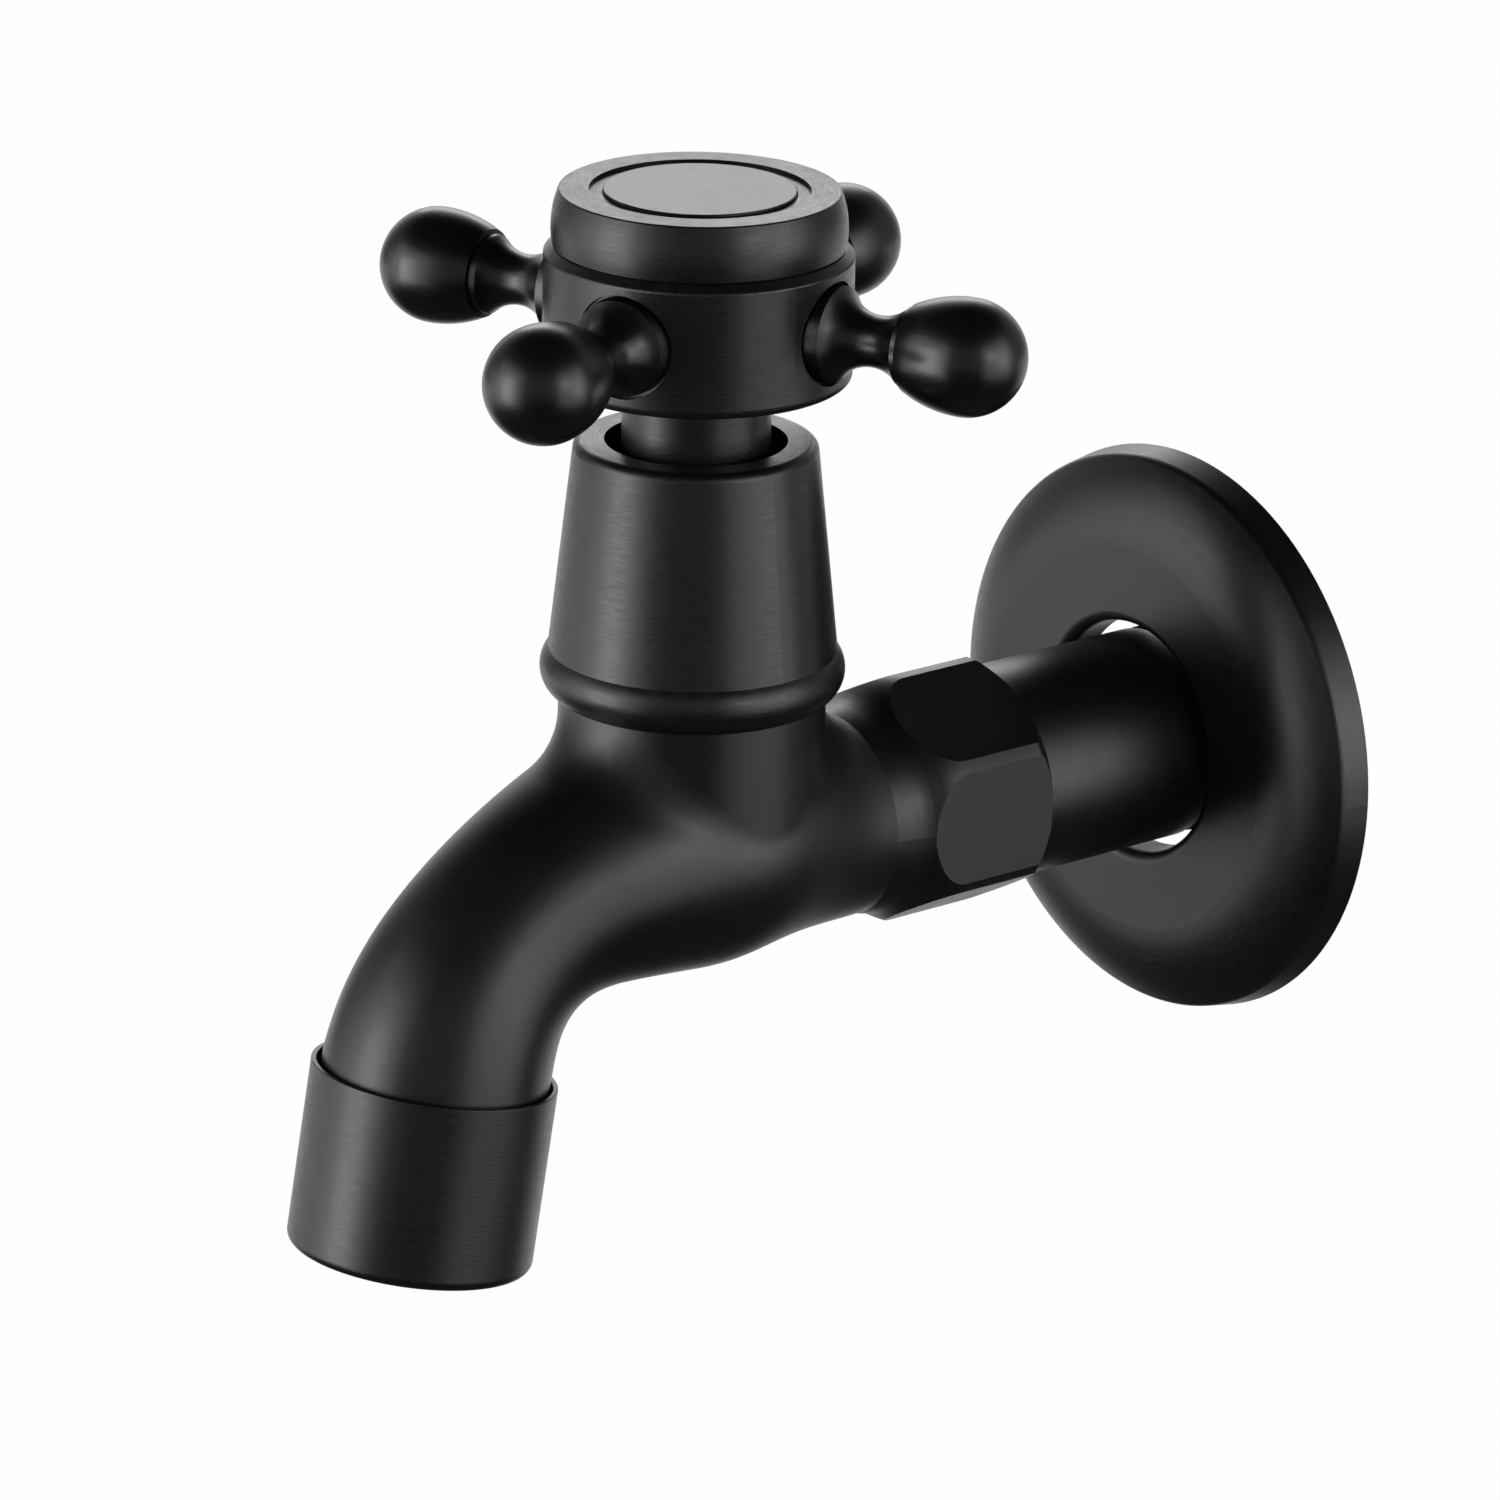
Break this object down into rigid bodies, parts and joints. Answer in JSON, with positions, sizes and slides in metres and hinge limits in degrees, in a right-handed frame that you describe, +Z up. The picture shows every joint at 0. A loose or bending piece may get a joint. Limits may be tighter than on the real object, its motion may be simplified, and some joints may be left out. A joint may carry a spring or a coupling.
{
  "type": "garden tap",
  "caption": "Wall-mounted garden tap with a curved spout, screw-on nozzle, bell cover, ball-ended cross handle, quarter-turn valve and round wall flange.",
  "frame": {"origin": "centre of the inlet shank's axis at the wall's face", "axes": "+Z up, +Y into the wall along the inlet shank, the spout towards -Y, +X to the right of someone who faces the wall"},
  "size_m": [0.063, 0.1169, 0.0997],
  "materials": {
    "satin_black_coating": "satin black coating on brass, finely brushed",
    "brushed_black_plate": "finely brushed black disc",
    "bare_brass": "turned brass",
    "stainless_steel": "stainless steel",
    "black_rubber": "matt rubber",
    "ceramic_disc": "lapped ceramic",
    "moulded_plastic": "moulded plastic"
  },
  "bodies": {
    "tap": {"tap_body": "satin_black_coating", "inlet_shank": "satin_black_coating", "shank_o_ring": "black_rubber", "bonnet_cover": "satin_black_coating", "cartridge_body": "bare_brass", "cartridge_gasket": "black_rubber", "seat_seal": "black_rubber", "fixed_disc": "ceramic_disc", "nozzle_sleeve": "satin_black_coating", "nozzle_washer": "black_rubber", "aerator_housing": "moulded_plastic", "aerator_flow_plate": "moulded_plastic", "aerator_screen": "stainless_steel"},
    "handle": {"handle_hub": "satin_black_coating", "handle_cap": "satin_black_coating", "index_disc": "brushed_black_plate", "spoke_right": "satin_black_coating", "spoke_back": "satin_black_coating", "spoke_left": "satin_black_coating", "spoke_front": "satin_black_coating", "handle_screw": "stainless_steel", "lock_washer": "stainless_steel", "spindle": "bare_brass", "spindle_o_rings": "black_rubber", "spindle_circlip": "stainless_steel", "slip_washer": "moulded_plastic", "turning_disc": "ceramic_disc"},
    "flange": {"wall_flange": "satin_black_coating"}
  },
  "joints": [
    {"name": "handle_turn", "type": "hinge", "parent": "tap", "child": "handle", "pos_m": [0, -0.061, 0], "axis": [0, 0, 1], "range_deg": [0, 90]},
    {"name": "flange_slide", "type": "slide", "parent": "tap", "child": "flange", "axis": [0, -1, 0], "range_m": [0, 0.0186]}
  ]
}
